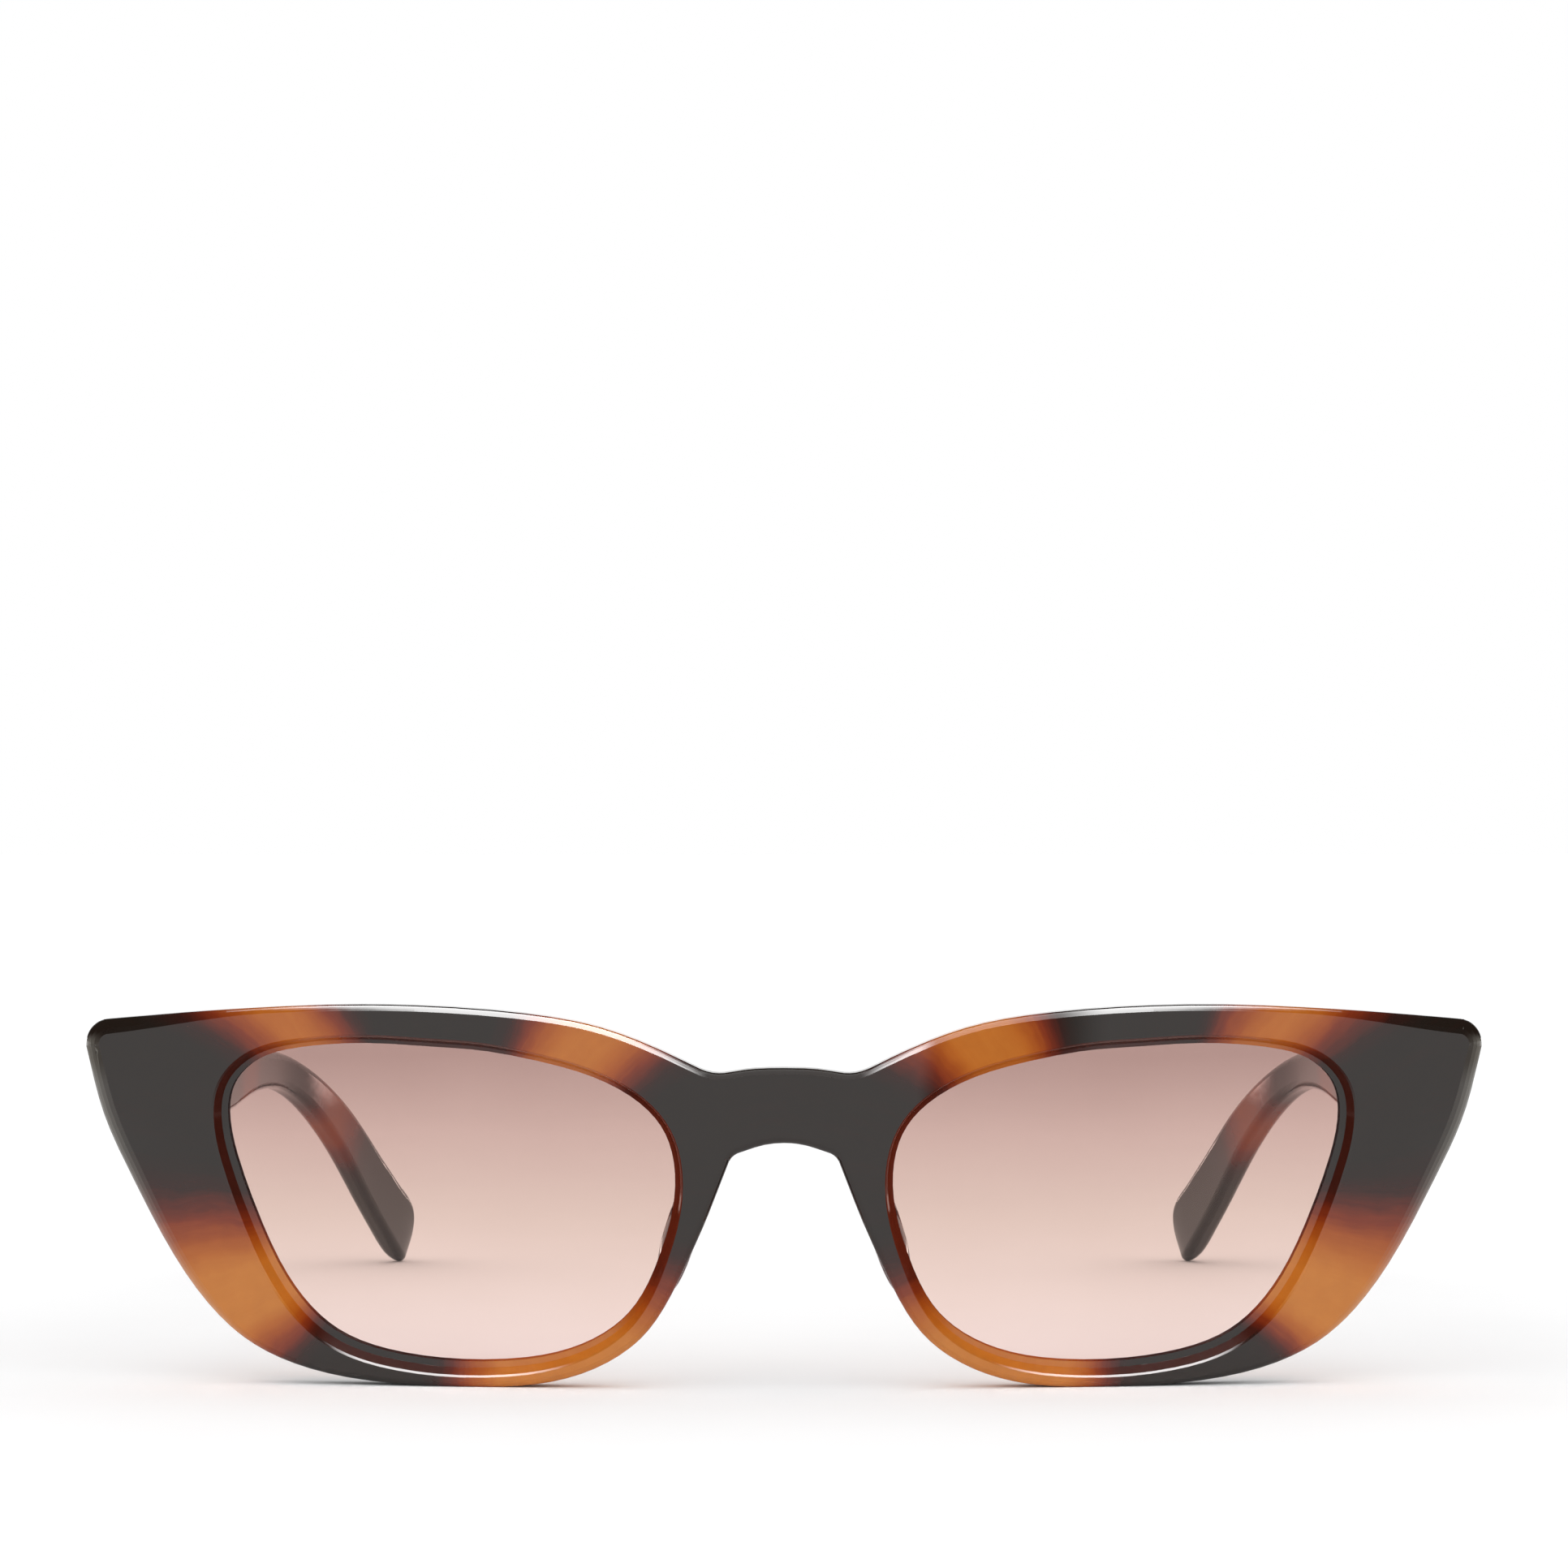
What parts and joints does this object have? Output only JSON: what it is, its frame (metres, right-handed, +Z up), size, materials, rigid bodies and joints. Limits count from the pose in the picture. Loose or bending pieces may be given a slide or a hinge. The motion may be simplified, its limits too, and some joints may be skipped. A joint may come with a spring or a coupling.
{
  "type": "cat eye sunglasses",
  "caption": "Cat-eye sunglasses: curved acetate front with upswept wings, gradient tinted lenses in grooved rims, saddle bridge, and folding temples on screwed barrel hinges.",
  "frame": {"origin": "apex of the nose saddle (underside of the bridge) on the plane of symmetry, in the middle of the front's thickness", "axes": "+X towards the wearer's left, +Y from the front towards the ears, +Z up, parallel to the plane the open sunglasses stand on"},
  "size_m": [0.142, 0.1447, 0.0382],
  "materials": {
    "front_acetate": "polished tortoiseshell acetate, near-black with amber patches",
    "temple_acetate": "polished tortoiseshell acetate, near-black with red-brown patches",
    "pad_acetate": "polished tortoiseshell acetate",
    "lens_tint": "polished, rose-brown gradient tint, darker at the top",
    "hinge_metal": "satin nickel silver",
    "screw_metal": "bright steel",
    "core_metal": "satin nickel silver wire"
  },
  "bodies": {
    "front": {"front_frame": "front_acetate", "lens_left": "lens_tint", "nose_pad_left": "pad_acetate", "front_hinge_leaf_left": "hinge_metal", "front_leaf_screws_left": "screw_metal", "hinge_screw_left": "screw_metal", "lens_right": "lens_tint", "nose_pad_right": "pad_acetate", "front_hinge_leaf_right": "hinge_metal", "front_leaf_screws_right": "screw_metal", "hinge_screw_right": "screw_metal"},
    "temple_left": {"temple_left": "temple_acetate", "temple_hinge_leaf_left": "hinge_metal", "temple_leaf_screws_left": "screw_metal", "temple_core_left": "core_metal"},
    "temple_right": {"temple_right": "temple_acetate", "temple_hinge_leaf_right": "hinge_metal", "temple_leaf_screws_right": "screw_metal", "temple_core_right": "core_metal"}
  },
  "joints": [
    {"name": "temple_left_fold", "type": "hinge", "parent": "front", "child": "temple_left", "pos_m": [0.06135, 0.01465, 0.006], "axis": [0, 0, 1], "range_deg": [0, 87]},
    {"name": "temple_right_fold", "type": "hinge", "parent": "front", "child": "temple_right", "pos_m": [-0.06135, 0.01465, 0.006], "axis": [0, 0, -1], "range_deg": [0, 77]}
  ]
}
